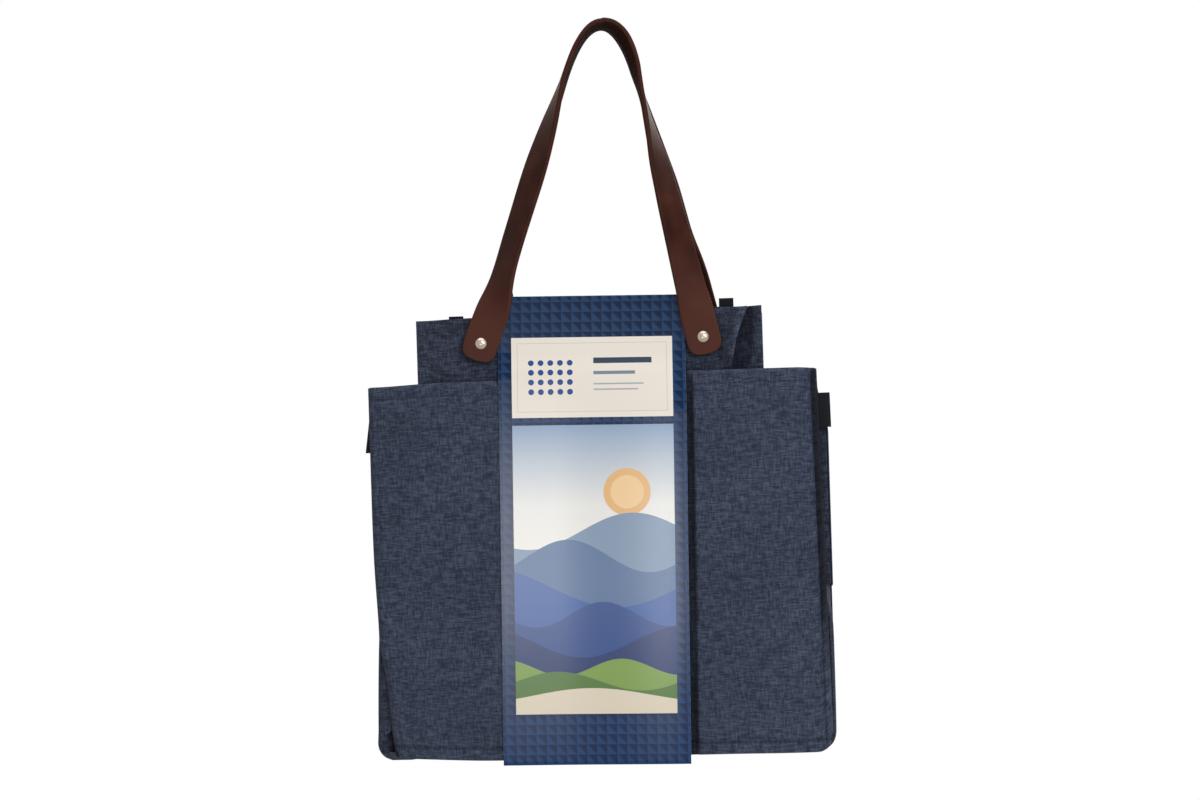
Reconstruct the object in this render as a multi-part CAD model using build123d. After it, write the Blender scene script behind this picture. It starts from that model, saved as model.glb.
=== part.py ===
from build123d import *
from math import asin, atan2, cos, degrees, hypot, radians, sin, sqrt
import os

# Shopping tote folded flat in a card sleeve and hung by its two leather handles.
# Millimetres. The origin is the hanging point, under the crown of the handles.
# +X is to the right, +Y to the back and +Z up.

# Cloth bag
panel_width = 330.0
pocket_height = 273.0
rim_rise = 47.0
base_depth = 235.0
pocket_depth = 38.0
pockets_per_side = 3
cloth = 1.1
layer_gap = 0.3
cut_margin = 1.0
pocket_hem = 10.0
facing_height = 30.0
facing_inset = 5.0
corner_radius = 12.0
pleat_depth = 24.0
pleat_clearance = 2.0
divider_inset = 14.0
bag_offset = -13.6
back_offset = 4.0

# Base
board_thickness = 3.0
binding_width = 2.5
base_play = 0.2

# Leather handles
hang_drop = 208.0
strap_width = 25.0
strap_thickness = 3.5
crown_radius = 18.9
crown_gap = 4.0
rivet_inset = 47.0
rivet_drop = 19.0
fold_rise = 10.0
fold_gap = 0.3
fold_relief = 3.4
edge_inset = 0.1
first_turn = 50.0
first_turn_start = 34.0
first_turn_length = 45.0
last_turn_length = 75.0
crown_turn = 90.0
turn_pause = 30.0
leg_steps = 18
crown_steps = 7

# Rivets
cap_diameter = 8.0
cap_height = 2.2
cap_edge = 0.6
post_diameter = 3.0
post_clearance = 0.1
washer_diameter = 10.0
washer_thickness = 1.2
rivet_back_thickness = 1.0

# Side handles of webbing
webbing_width = 25.0
webbing = 1.5
webbing_bend_gap = 1.2
webbing_clearance = 0.4
side_handle_reach = 65.0
side_handle_drop = 31.0
left_poke = 3.0
right_poke = 8.0
tack_diameter = 4.0
tack_clearance = 0.05

# Tabs at the rim
tab_width = 10.5
tab_thickness = 1.4
tab_step = 18.0
tab_rise = 5.0
tab_depth = 22.0

# Card sleeve
card = 0.6
sleeve_play = 7.5
sleeve_top_gap = 13.0
sleeve_bottom_gap = 4.5
sleeve_edge_gap = 2.0
sleeve_lean = 1.0
glue_lap = 25.0

# Heights
rim_height = pocket_height + rim_rise
rim_z = -hang_drop
bottom_z = rim_z - rim_height
pocket_z = bottom_z + pocket_height
rivet_z = rim_z - rivet_drop
fold_z = rivet_z + fold_rise
base_low_z = bottom_z + cloth + layer_gap
base_top_z = base_low_z + base_depth
base_mid_z = (base_low_z + base_top_z) / 2
side_handle_z = pocket_z - side_handle_drop

# Widths, counted from the middle of the bag
panel_half = panel_width / 2
body_half = panel_half - pocket_depth
crease_x = panel_half - base_depth / 2
rivet_x = body_half - rivet_inset
divider_x = panel_half / pockets_per_side
pleat_inner = rivet_x + cap_diameter / 2 + pleat_clearance
pleat_outer = pleat_inner + pleat_depth
tab_x = rivet_x + tab_step
tack_x = panel_half - side_handle_reach
sleeve_half = rivet_x - washer_diameter / 2 - sleeve_play
back_x = bag_offset + back_offset
post_hole = post_diameter + 2 * post_clearance

# The folded layers, from the front to the back
mouth_depth = 2 * webbing + webbing_bend_gap + 2 * webbing_clearance
LAYERS = [
    ("sleeve_front", card),
    ("front_pocket", cloth),
    ("front_divider", cloth),
    ("front_body", cloth),
    ("pleat_middle", cloth),
    ("pleat_back", cloth),
    ("end_front", cloth),
    ("mouth", mouth_depth),
    ("end_back", cloth),
    ("tab", tab_thickness),
    ("back_facing", cloth),
    ("back_body", cloth),
    ("back_divider", cloth),
    ("back_pocket", cloth),
    ("pocket_up", cloth),
    ("divider_up", cloth),
    ("body_up", cloth),
    ("end_triangle", cloth),
    ("base_lining", cloth),
    ("base_board", board_thickness),
    ("base_outer", cloth),
    ("sleeve_back", card),
]


def stack_layers():
    """Front and back Y of every layer, with the stack centred on Y = 0."""
    depth = sum(size for _, size in LAYERS) + layer_gap * (len(LAYERS) - 1)
    y = -depth / 2
    places = {}
    for name, size in LAYERS:
        places[name] = (y, y + size)
        y += size + layer_gap
    return places


LAYER = stack_layers()


def middle(name):
    """Y of the middle of a layer."""
    return sum(LAYER[name]) / 2


front_rim_y = LAYER["front_body"][0]
back_rim_y = LAYER["back_body"][1]
front_strap_y = front_rim_y - washer_thickness - strap_thickness / 2
back_strap_y = back_rim_y + washer_thickness + strap_thickness / 2
crown_y = (strap_width + crown_gap) / 2


def plate(outline, front, back):
    """Flat plate: an outline in X and Z, from one Y to another."""
    return extrude(Plane.XZ.offset(-(front + back) / 2) * outline, (back - front) / 2, both=True)


def layer_plate(outline, name):
    """Flat plate that fills a layer of the stack."""
    return plate(outline, *LAYER[name])


def upright(left, right, low, high):
    """Rectangle between two X and two Z values."""
    return Pos((left + right) / 2, (low + high) / 2) * Rectangle(right - left, high - low)


def ribbon(points, thickness):
    """Thin strip along the points, with round outer corners where it folds."""
    strip = Sketch()
    for (u0, v0), (u1, v1) in zip(points, points[1:]):
        run = Rectangle(hypot(u1 - u0, v1 - v0), thickness)
        turn = Rot(0, 0, degrees(atan2(v1 - v0, u1 - u0)))
        strip += Pos((u0 + u1) / 2, (v0 + v1) / 2) * turn * run
    for corner in points[1:-1]:
        strip += Pos(*corner) * Circle(thickness / 2)
    return strip


def across(profile, left, right):
    """Carries a profile in Y and Z from one X to another."""
    return extrude(Plane.YZ.offset((left + right) / 2) * profile, (right - left) / 2, both=True)


def pin(x, z, front, back, diameter):
    """Round bar along Y."""
    return plate(Pos(x, z) * Circle(diameter / 2), front, back)


def rivet_holes(front, back):
    """Clearance for the two rivet posts of one handle."""
    return [pin(side * rivet_x, rivet_z, front, back, post_hole) for side in (-1, 1)]


def front_pocket_panel():
    """Outer front wall: hemmed at the top, turned under the bottom to the base."""
    y = middle("front_pocket")
    hem_y = middle("front_divider")
    low = bottom_z + cloth / 2
    high = pocket_z - cloth / 2
    path = [(hem_y, pocket_z - pocket_hem), (hem_y, high), (y, high)]
    path += [(y, low), (LAYER["base_outer"][1], low)]
    panel = across(ribbon(path, cloth), -panel_half, panel_half)
    sheet = upright(-panel_half, panel_half, bottom_z, pocket_z)
    corners = sheet.vertices().group_by(Axis.Y)[0]
    outline = fillet(corners, corner_radius)
    return panel & plate(outline, LAYER["sleeve_front"][0], LAYER["sleeve_back"][1])


def front_body_panel():
    """Inner front wall, up to the rim, with its spare cloth in a pleat at the right."""
    front, inner, back = middle("front_body"), middle("pleat_middle"), middle("pleat_back")
    path = [(-body_half, front), (pleat_outer, front), (pleat_outer, inner)]
    path += [(pleat_inner, inner), (pleat_inner, back), (body_half, back)]
    low = bottom_z + pocket_depth / 2
    wall = extrude(Plane.XY.offset(low) * ribbon(path, cloth), rim_z - low)
    front, back = LAYER["front_body"]
    for hole in rivet_holes(front - cut_margin, back + layer_gap / 2):
        wall -= hole
    return wall


def rim_facing(name, right):
    """Band sewn inside the rim, which the rivets also go through."""
    band = upright(-(body_half - facing_inset), right, rim_z - facing_height, rim_z - cloth)
    facing = layer_plate(band, name)
    front, back = LAYER[name]
    for hole in rivet_holes(front - cut_margin, back + cut_margin):
        facing -= hole
    return facing


def folded_back(name, up_name, top, foot, length):
    """Profile of a back layer: down from its top, round a crease and up to its foot."""
    y, up_y = middle(name), middle(up_name)
    crease = (top + foot - length) / 2
    return [(y, top), (y, crease), (up_y, crease), (up_y, foot)]


def back_body_panel():
    """Inner back wall, creased so that its lower part stands up behind it."""
    foot = base_top_z - pocket_depth
    path = folded_back("back_body", "body_up", rim_z, foot, rim_height)
    wall = across(ribbon(path, cloth), -body_half, body_half)
    front, back = LAYER["back_body"]
    for hole in rivet_holes(front - layer_gap / 2, back + cut_margin):
        wall -= hole
    return wall


def back_pocket_panel():
    """Outer back wall, creased like the inner one, with its hem at the top."""
    top = pocket_z - cloth / 2
    hem_y = middle("back_divider")
    path = folded_back("back_pocket", "pocket_up", top, base_top_z, pocket_height)
    hem = [(hem_y, pocket_z - pocket_hem), (hem_y, top)]
    return across(ribbon(hem + path, cloth), -panel_half, panel_half)


def divider_span(side):
    """Left and right of a divider, which folds away from the middle of the bag."""
    ends = (side * divider_x, side * (divider_x + pocket_depth))
    return min(ends), max(ends)


def front_divider(side):
    """Wall between two front bottle pockets, lying flat."""
    left, right = divider_span(side)
    low = bottom_z + divider_inset
    high = pocket_z - divider_inset
    return layer_plate(upright(left, right, low, high), "front_divider")


def back_divider(side):
    """Wall between two back bottle pockets, creased with the back walls."""
    left, right = divider_span(side)
    top = pocket_z - divider_inset
    foot = base_top_z - divider_inset
    crease = base_mid_z - pocket_depth / 4
    length = top + foot - 2 * crease
    path = folded_back("back_divider", "divider_up", top, foot, length)
    return across(ribbon(path, cloth), left, right)


def end_panel(side):
    """End wall, folded in between the long walls: two leaves, a crease and the foot on the base."""
    edge, step, crease = side * panel_half, side * body_half, side * crease_x
    corner = bottom_z + corner_radius
    apex = base_mid_z
    slope = (apex - corner) / (crease_x - panel_half)
    upper = [(edge, pocket_z), (step, pocket_z), (step, rim_z), (crease, rim_z), (crease, apex)]
    front_leaf = layer_plate(Polygon(*upper, (edge, corner)), "end_front")
    back_leaf = layer_plate(Polygon(*upper, (edge, apex)), "end_back")
    fold = upright(min(crease, crease + side * cloth), max(crease, crease + side * cloth), apex, rim_z)
    fold = plate(fold, LAYER["end_front"][0], LAYER["end_back"][1])
    foot_x = crease_x + pocket_depth
    foot_z = apex + slope * pocket_depth
    band = Polygon(
        (side * foot_x, foot_z),
        (edge, corner),
        (edge, corner + 2 * cloth),
        (side * foot_x, foot_z + 2 * cloth),
    )
    foot_fold = plate(band, LAYER["end_front"][0], LAYER["end_triangle"][1])
    foot_top = base_top_z - corner_radius
    foot = Polygon((side * foot_x, foot_z), (edge, corner), (edge, foot_top), (side * foot_x, apex))
    return front_leaf + back_leaf + fold + foot_fold + layer_plate(foot, "end_triangle")


def base_outline(inset):
    """Round-cornered outline of the base, drawn in from its bound edge."""
    radius = corner_radius - inset
    shape = RectangleRounded(panel_width - 2 * inset, base_depth - 2 * inset, radius)
    return Pos(0, base_mid_z) * shape


def base_layer(name):
    """One flat layer of the base, inside the binding."""
    return layer_plate(base_outline(binding_width + base_play), name)


def base_binding():
    """Tape bound round the edge of the base."""
    ring = base_outline(0) - base_outline(binding_width)
    return plate(ring, LAYER["base_lining"][0], LAYER["base_outer"][1])


def rim_tabs():
    """Two short webbing tabs that stand up inside the rim."""
    tabs = []
    for side in (-1, 1):
        left = side * tab_x - tab_width / 2
        tab = upright(left, left + tab_width, rim_z - tab_depth, rim_z + tab_rise)
        tabs.append(layer_plate(tab, "tab"))
    return tabs


class HandlePath:
    """Centre line of one handle, drawn as the front one: two straight legs and the arc of the crown."""

    def __init__(self, middle_x, strap_y):
        self.radius = crown_radius + strap_thickness / 2
        self.centre = (0.0, -crown_radius)
        self.strap_y = strap_y
        self.rivets = {side: (middle_x + side * rivet_x, rivet_z) for side in (-1, 1)}
        self.legs = {side: self.leg(side) for side in (-1, 1)}

    def leg(self, side):
        """Direction of a leg in X and Z, and its length from the rivet to the crown."""
        x, z = self.rivets[side]
        reach_x, reach_z = self.centre[0] - x, self.centre[1] - z
        distance = hypot(reach_x, reach_z)
        angle = atan2(reach_z, reach_x) - side * asin(self.radius / distance)
        return cos(angle), sin(angle), sqrt(distance**2 - self.radius**2)

    def fold_x(self, side):
        """X of the middle of a leg at the fold."""
        along_x, along_z, _ = self.legs[side]
        return self.rivets[side][0] + fold_rise * along_x / along_z

    def fold_width(self, side):
        """Width of the leaning strap along X."""
        return strap_width / self.legs[side][1]

    def arc_angle(self, share):
        """Angle round the crown's centre, in degrees, from the left leg to the right one."""
        left_x, left_z, _ = self.legs[-1]
        right_x, right_z, _ = self.legs[1]
        left = degrees(atan2(left_x, -left_z))
        right = degrees(atan2(-right_x, right_z))
        return left + (right - left) * share

    def turn(self, distance):
        """Twist of the strap, in degrees, at a distance above the rivet."""
        pause = first_turn_start + first_turn_length + turn_pause
        first = ease((distance - first_turn_start) / first_turn_length)
        last = ease((distance - pause) / last_turn_length)
        return first_turn * first + (crown_turn - first_turn) * last

    def section(self, place, along, turn):
        """Strap section square to its run, turned from facing the front to lying on the crown."""
        outward = Vector(-along.Z, 0, along.X)
        normal = outward * sin(radians(turn)) - Vector(0, cos(radians(turn)), 0)
        frame = Plane(place, x_dir=along.cross(normal), z_dir=along)
        return frame * Rectangle(strap_width, strap_thickness)

    def fold_section(self, side):
        """Level section at the fold, where the strap faces the front."""
        place = Vector(self.fold_x(side), self.strap_y, fold_z)
        frame = Plane(place, x_dir=(-side, 0, 0), z_dir=(0, 0, -side))
        return frame * Rectangle(self.fold_width(side), strap_thickness)

    def leg_sections(self, side):
        """Sections up one leg, from the fold to the foot of the crown."""
        along_x, along_z, length = self.legs[side]
        x, z = self.rivets[side]
        start = fold_rise / along_z + strap_width / 3
        along = Vector(along_x, 0, along_z) * -side
        sections = [self.fold_section(side)]
        for step in range(leg_steps):
            distance = start + (length - start) * step / leg_steps
            share = ease((distance - first_turn_start) / (length - first_turn_start))
            y = self.strap_y + (-crown_y - self.strap_y) * share
            place = Vector(x + along_x * distance, y, z + along_z * distance)
            sections.append(self.section(place, along, self.turn(distance)))
        return sections

    def crown_sections(self):
        """Sections round the crown, which lie flat along Y."""
        sections = []
        for step in range(crown_steps + 1):
            angle = radians(self.arc_angle(step / crown_steps))
            x = self.centre[0] + self.radius * cos(angle)
            z = self.centre[1] + self.radius * sin(angle)
            along = Vector(sin(angle), 0, -cos(angle))
            sections.append(self.section(Vector(x, -crown_y, z), along, crown_turn))
        return sections


def ease(share):
    """Smooth step from 0 to 1."""
    share = min(max(share, 0.0), 1.0)
    return share * share * (3 - 2 * share)


def handle_strap(path):
    """Strap loop above the folds, with a round edge on each fold line."""
    sections = path.leg_sections(-1) + path.crown_sections() + path.leg_sections(1)[::-1]
    strap = loft(sections, ruled=True)
    round_edge = Pos(path.strap_y, fold_z) * Circle(strap_thickness / 2 - edge_inset)
    for side in (-1, 1):
        half_width = path.fold_width(side) / 2 - edge_inset
        x = path.fold_x(side)
        strap += across(round_edge, x - half_width, x + half_width)
    return strap


def handle_end(path, side):
    """Riveted end of the strap, cut back below the fold so that the loop can swing over it."""
    x, z = path.rivets[side]
    lean = degrees(atan2(path.legs[side][0], path.legs[side][1]))
    length = 2 * fold_rise
    outline = Circle(strap_width / 2) + Pos(0, length / 2) * Rectangle(strap_width, length)
    outline = Pos(x, z) * Rot(0, 0, -lean) * outline
    front = path.strap_y - strap_thickness / 2
    back = path.strap_y + strap_thickness / 2
    end = plate(outline, front, back)
    low = fold_z - strap_thickness / 2 - fold_gap
    high = fold_z + length
    cut = Polygon((back, low), (front, low - fold_relief), (front, high), (back, high))
    end -= across(cut, x - 2 * strap_width, x + 2 * strap_width)
    return end - pin(x, z, front, back, post_hole)


def turned_round(shape):
    """A piece of the back handle, from one drawn as the front handle's."""
    return mirror(shape, about=Plane.XZ)


front_path = HandlePath(bag_offset, front_strap_y)
back_path = HandlePath(back_x, -back_strap_y)


def rivet_places():
    """Every rivet: its X, the Y of the cloth it goes through and the way it faces."""
    for path, cloth_y, inner_y, facing in (
        (front_path, front_rim_y, LAYER["pleat_middle"][1], -1),
        (back_path, back_rim_y, LAYER["back_facing"][0], 1),
    ):
        for x, _ in path.rivets.values():
            yield x, cloth_y, inner_y, facing


def rivet_washers():
    """Washers between the leather and the cloth."""
    washers = []
    for x, cloth_y, _, facing in rivet_places():
        ends = sorted((cloth_y, cloth_y + facing * washer_thickness))
        washer = pin(x, rivet_z, *ends, washer_diameter)
        washers.append(washer - pin(x, rivet_z, *ends, post_hole))
    return washers


def rivet_caps():
    """Domed caps on the outside of the leather."""
    caps = []
    seat = washer_thickness + strap_thickness
    for x, cloth_y, _, facing in rivet_places():
        half = cap_diameter / 2
        rise = cap_height - cap_edge
        dome = Polyline((0, cap_height), (0, 0), (half, 0), (half, cap_edge))
        dome += RadiusArc((half, cap_edge), (0, cap_height), -(half**2 + rise**2) / (2 * rise))
        place = Plane((x, cloth_y + facing * seat, rivet_z), x_dir=(1, 0, 0), z_dir=(0, facing, 0))
        cap = revolve(Plane.XZ * make_face(dome), Axis.Z)
        caps.append(place * cap)
    return caps


def rivet_posts():
    """Posts from the caps, through leather, washer, wall and facing, to the backs."""
    posts = []
    for x, cloth_y, inner_y, facing in rivet_places():
        ends = sorted((cloth_y + facing * (washer_thickness + strap_thickness), inner_y))
        posts.append(pin(x, rivet_z, *ends, post_diameter))
    return posts


def rivet_backs():
    """Flat rivet backs inside the rim."""
    backs = []
    for x, _, inner_y, facing in rivet_places():
        ends = sorted((inner_y, inner_y - facing * rivet_back_thickness))
        backs.append(pin(x, rivet_z, *ends, cap_diameter))
    return backs


def side_legs():
    """Front and back Y of the two legs of a side handle, inside the fold's mouth."""
    front, back = LAYER["mouth"]
    near = front + webbing_clearance
    far = back - webbing_clearance
    return (near, near + webbing), (far - webbing, far)


def side_handle(side, poke):
    """Webbing loop of one side: two legs with round sewn ends and the bend that pokes out."""
    tip = panel_half + poke
    (near, near_in), (far_in, far) = side_legs()
    bend = (far - near) / 2
    straight = tip - bend
    leg = Pos(side * tack_x, side_handle_z) * Circle(webbing_width / 2)
    leg += upright(
        min(side * tack_x, side * straight),
        max(side * tack_x, side * straight),
        side_handle_z - webbing_width / 2,
        side_handle_z + webbing_width / 2,
    )
    loop = plate(leg, near, near_in) + plate(leg, far_in, far)
    centre = Pos(side * straight, (near + far) / 2)
    ring = Circle(bend) - Circle(bend - webbing)
    ring -= Pos(-side * bend, 0) * Rectangle(2 * bend, 4 * bend)
    low = side_handle_z - webbing_width / 2
    loop += extrude(Plane.XY.offset(low) * centre * ring, webbing_width)
    hole = tack_diameter + 2 * tack_clearance
    return loop - pin(side * tack_x, side_handle_z, near - cut_margin, far + cut_margin, hole)


def side_handle_tacks():
    """Bar tacks that sew the ends of the side handles to the end walls."""
    (_, near_in), (far_in, _) = side_legs()
    tacks = []
    mouth_front, mouth_back = LAYER["mouth"]
    for side in (-1, 1):
        x = side * tack_x
        tacks.append(pin(x, side_handle_z, mouth_front - layer_gap, near_in, tack_diameter))
        tacks.append(pin(x, side_handle_z, far_in, mouth_back + layer_gap, tack_diameter))
    return tacks


def card_sleeve():
    """Card band closed round the bag: over the rim, down the front, under the bottom and up the back."""
    front, back = middle("sleeve_front"), middle("sleeve_back")
    rim_front = front_rim_y - layer_gap - card / 2
    rim_back = back_rim_y + layer_gap + card / 2
    pocket_back = LAYER["back_pocket"][1] + layer_gap + card / 2
    step_z = rivet_z - strap_width / 2 - sleeve_edge_gap / 2
    low = bottom_z - sleeve_bottom_gap
    high = rim_z + sleeve_top_gap
    path = [
        (front, low),
        (front, pocket_z + sleeve_edge_gap),
        (rim_front, step_z),
        (rim_front, high),
        (rim_back, high),
        (rim_back, step_z),
        (pocket_back, pocket_z + sleeve_edge_gap),
        (back, base_top_z + sleeve_edge_gap),
        (back, low),
        (front, low),
    ]
    band = ribbon(path, card) + Pos(front, low) * Circle(card / 2)
    band += Pos(back + card, base_mid_z) * Rectangle(card, glue_lap)
    sleeve = across(band, -sleeve_half, sleeve_half)
    return Pos(0, 0, rim_z) * Rot(0, sleeve_lean, 0) * Pos(0, 0, -rim_z) * sleeve


def place_front(pieces):
    """Moves pieces drawn about the middle of the bag to the folded bag's front half."""
    return Pos(bag_offset, 0, 0) * pieces


def place_back(pieces):
    """Moves pieces drawn about the middle of the bag to its back half, which sits a little aside."""
    return Pos(back_x, 0, 0) * pieces


def group(pieces):
    """Separate solids in one node."""
    return Compound([piece.solid() for piece in pieces])


facing_end = pleat_inner - cloth / 2 - layer_gap
NODES = {
    "front_pocket_panel": place_front(front_pocket_panel()),
    "front_left_divider": place_front(front_divider(-1)),
    "front_right_divider": place_front(front_divider(1)),
    "front_body_panel": place_front(front_body_panel()),
    "front_rim_facing": place_front(rim_facing("pleat_middle", facing_end)),
    "left_end_panel": place_front(end_panel(-1)),
    "right_end_panel": place_front(end_panel(1)),
    "back_rim_facing": place_back(rim_facing("back_facing", body_half - facing_inset)),
    "back_body_panel": place_back(back_body_panel()),
    "back_left_divider": place_back(back_divider(-1)),
    "back_right_divider": place_back(back_divider(1)),
    "back_pocket_panel": place_back(back_pocket_panel()),
    "base_lining": place_back(base_layer("base_lining")),
    "base_board": place_back(base_layer("base_board")),
    "base_outer_panel": place_back(base_layer("base_outer")),
    "base_binding": place_back(base_binding()),
    "rim_tabs": place_front(group(rim_tabs())),
    "front_handle_strap": handle_strap(front_path),
    "front_handle_left_end": handle_end(front_path, -1),
    "front_handle_right_end": handle_end(front_path, 1),
    "back_handle_strap": turned_round(handle_strap(back_path)),
    "back_handle_left_end": turned_round(handle_end(back_path, -1)),
    "back_handle_right_end": turned_round(handle_end(back_path, 1)),
    "rivet_caps": group(rivet_caps()),
    "rivet_posts": group(rivet_posts()),
    "rivet_washers": group(rivet_washers()),
    "rivet_backs": group(rivet_backs()),
    "left_side_handle": place_front(side_handle(-1, left_poke)),
    "right_side_handle": place_front(side_handle(1, right_poke)),
    "side_handle_tacks": place_front(group(side_handle_tacks())),
    "card_sleeve": place_front(card_sleeve()),
}

os.makedirs("parts", exist_ok=True)
for node, shape in NODES.items():
    export_step(shape, f"parts/{node}.step")
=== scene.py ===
import bpy
import numpy as np
from mathutils import Matrix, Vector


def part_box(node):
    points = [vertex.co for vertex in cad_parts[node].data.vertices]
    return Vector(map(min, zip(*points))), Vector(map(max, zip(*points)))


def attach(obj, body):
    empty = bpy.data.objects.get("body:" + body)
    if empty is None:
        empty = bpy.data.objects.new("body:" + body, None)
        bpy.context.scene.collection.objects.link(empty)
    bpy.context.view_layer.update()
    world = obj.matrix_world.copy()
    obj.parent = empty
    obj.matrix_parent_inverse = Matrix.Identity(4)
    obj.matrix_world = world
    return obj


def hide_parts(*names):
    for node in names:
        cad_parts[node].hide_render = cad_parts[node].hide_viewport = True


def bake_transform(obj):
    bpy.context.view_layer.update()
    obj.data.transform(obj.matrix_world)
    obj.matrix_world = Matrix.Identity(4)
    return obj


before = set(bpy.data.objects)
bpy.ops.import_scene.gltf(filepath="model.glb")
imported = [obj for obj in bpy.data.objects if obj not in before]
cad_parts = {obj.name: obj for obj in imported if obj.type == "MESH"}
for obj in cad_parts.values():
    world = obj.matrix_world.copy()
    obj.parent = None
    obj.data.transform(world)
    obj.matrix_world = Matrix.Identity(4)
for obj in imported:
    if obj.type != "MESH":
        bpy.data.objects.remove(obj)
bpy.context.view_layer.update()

# Looks of a folded shopping tote in its card sleeve, hung by two leather handles.
# Shapes are worked out in millimetres in the frame's axes and put into meshes in metres.
MM = 0.001


def span(node):
    """Lowest and highest corner of a frame node, in millimetres."""
    return np.array([list(corner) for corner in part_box(node)]) / MM


def middle(node, axis):
    """Middle of a frame node along one axis, in millimetres."""
    return span(node)[:, axis].mean()


# Places read from the frame
pocket_low, pocket_high = span("front_pocket_panel")
body_low, body_high = span("front_body_panel")
base_low, base_high = span("base_binding")
bag_x = (pocket_low[0] + pocket_high[0]) / 2
back_x = (base_low[0] + base_high[0]) / 2
panel_half = (pocket_high[0] - pocket_low[0]) / 2
body_half = (body_high[0] - body_low[0]) / 2
pocket_z = pocket_high[2]
bottom_z = pocket_low[2]
rim_z = body_high[2]
front_y = pocket_low[1]
tote_back_y = base_high[1]

# Cloth. A value with two entries is for the left (-1) and the right (1) side.
cloth = 1.1
thread_pitch = 0.9
weft_slub = 8.0
warp_slub = 7.0
thread_change = 7.3
warp_share = 0.46
dye_patch = 60.0
# Reach of the painted shade that darkens cloth in creases, gaps and under parts, in mm
crease_reach = 14.0
hem_depth = 10.0
corner_radius = 12.0
corner_droop = 2.0
hem_stitch_drop = 8.5
foot_stitch_rise = 9.0
rim_stitch_drop = 7.0
edge_roll = 4.5
edge_roll_width = 4.0
edge_groove_inset = 5.0
edge_groove_width = 1.5
edge_groove = {-1: 0.7, 1: 1.9}
hem_groove = 0.7
foot_groove = 1.3
left_puff = 1.8
right_puff = 4.0
seam_start_z = -443.0
seam_run = 80.0
seam_draw_in = 12.0
seam_corner = 4.0
seam_roll = 6.0
end_cut = (235.0, 320.0)
end_cut_share = 0.86

# Leather handles
strap_width = 25.0
strap_thickness = 3.5
strap_corner = 1.2
strap_dome = 0.3
strap_tip = 3.2
crown_radius = 18.9
crown_y = 14.5
crown_run = {-1: 44.0, 1: 34.0}
lift_start = 24.0
rivet_dent = 0.35
rivet_dent_width = 5.0
# Stretch above each rivet over which the strap's lower end is painted paler, as painted light
lit_end_start = 10.0
lit_end_run = 70.0

# Webbing, thread and card
webbing = 1.5
webbing_width = 25.0
loop_press = {-1: (1.5, 5.0), 1: (1.8, 2.2)}
loop_rise = {-1: -5.0, 1: 3.6}
tab = 0.65
tab_width = 10.5
tab_rise = {-1: -2.5, 1: 1.5}
thread = 0.55
stitch_length = 2.9
stitch_pitch = 3.6
card = 0.6
layer_gap = 0.3
sleeve_half = 67.5
sleeve_lean = np.radians(1.0)
sleeve_bow = 5.0
sleeve_step_drop = 31.0
lap_half = 12.5
lap_print = 700.0

# Print on the card, from the middle of the sleeve and from its foot
stud_pitch = 7.25
label_size = (116.0, 58.0)
label_foot = 250.0
picture_size = (116.0, 208.0)
picture_foot = 36.5


# Shapes


def ease(share):
    """Smooth step from 0 to 1."""
    share = np.clip(share, 0.0, 1.0)
    return share * share * (3.0 - 2.0 * share)


def hump(place, centre, width):
    """Bell curve of height 1."""
    return np.exp(-(((place - centre) / width) ** 2))


def roll(inside, width):
    """Roll of an edge: a parabola that rises from 0, a width inside the edge, to 1 on it."""
    return np.clip(1.0 - inside / width, 0.0, 1.0) ** 2


def bowed(start, pull, end, share):
    """Parabola from a start to an end that is drawn towards a third place."""
    return start * (1.0 - share) ** 2 + 2.0 * share * (1.0 - share) * pull + end * share**2


def ripples(x, z, wavelength, height, seed):
    """Unevenness of cloth: the sum of a few plane waves of drawn direction, length and phase."""
    waves = 7
    draw = np.random.default_rng(seed)
    angle = draw.uniform(0.0, np.pi, waves)
    length = wavelength * draw.uniform(0.7, 1.6, waves)
    phase = draw.uniform(0.0, 2.0 * np.pi, waves)
    x, z = np.broadcast_arrays(x, z)
    along = x[..., None] * np.cos(angle) + z[..., None] * np.sin(angle)
    return height * np.sin(2.0 * np.pi * along / length + phase).sum(-1) / np.sqrt(waves)


def walked(line):
    """Distance along a line at each of its points."""
    return np.concatenate([[0.0], np.cumsum(np.linalg.norm(np.diff(line, axis=0), axis=1))])


def soft_line(corners, count, round_over):
    """Line through corners in even steps, each point the mean over a short stretch, so corners turn round."""
    corners = np.array(corners, float)
    distance = walked(corners)
    walk = np.linspace(0.0, distance[-1], count)
    reach = np.minimum(round_over / 2, np.minimum(walk, distance[-1] - walk))
    stretch = walk[:, None] + reach[:, None] * np.linspace(-1.0, 1.0, 11)
    return np.stack([np.interp(stretch, distance, axis).mean(1) for axis in corners.T], axis=1), walk


def round_ring(half_a, half_b, radius, steps):
    """Points round a rectangle with round corners, each a quarter turn, and the directions out from them."""
    arcs = []
    for quarter, (side_a, side_b) in enumerate(((1, 1), (-1, 1), (-1, -1), (1, -1))):
        angle = np.linspace(0.0, np.pi / 2, steps) + quarter * np.pi / 2
        out = np.stack([np.cos(angle), np.sin(angle)], axis=1)
        centre = np.array([side_a * (half_a - radius), side_b * (half_b - radius)])
        arcs.append(np.concatenate([centre + radius * out, out], axis=1))
    return np.concatenate(arcs)


def edge_steps(half, count):
    """Steps from -half to half that are finer in a 10 mm band along both edges."""
    band = 10.0
    border = np.linspace(half - band, half, 14)
    inner = np.linspace(band - half, half - band, count)
    return np.concatenate([-border[::-1], inner[1:-1], border])


def patch(x, y, z, u, v, edge=0.0):
    """One patch of a piece: grids of its points and UV values, in millimetres, and of its edge value, which
    carries edge marks and painted light and shade.
    """
    points = np.stack(np.broadcast_arrays(x, y, z), axis=-1).astype(float)
    uv = np.stack(np.broadcast_arrays(u, v), axis=-1).astype(float)
    return points, uv, np.broadcast_to(edge, points.shape[:2])


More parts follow.
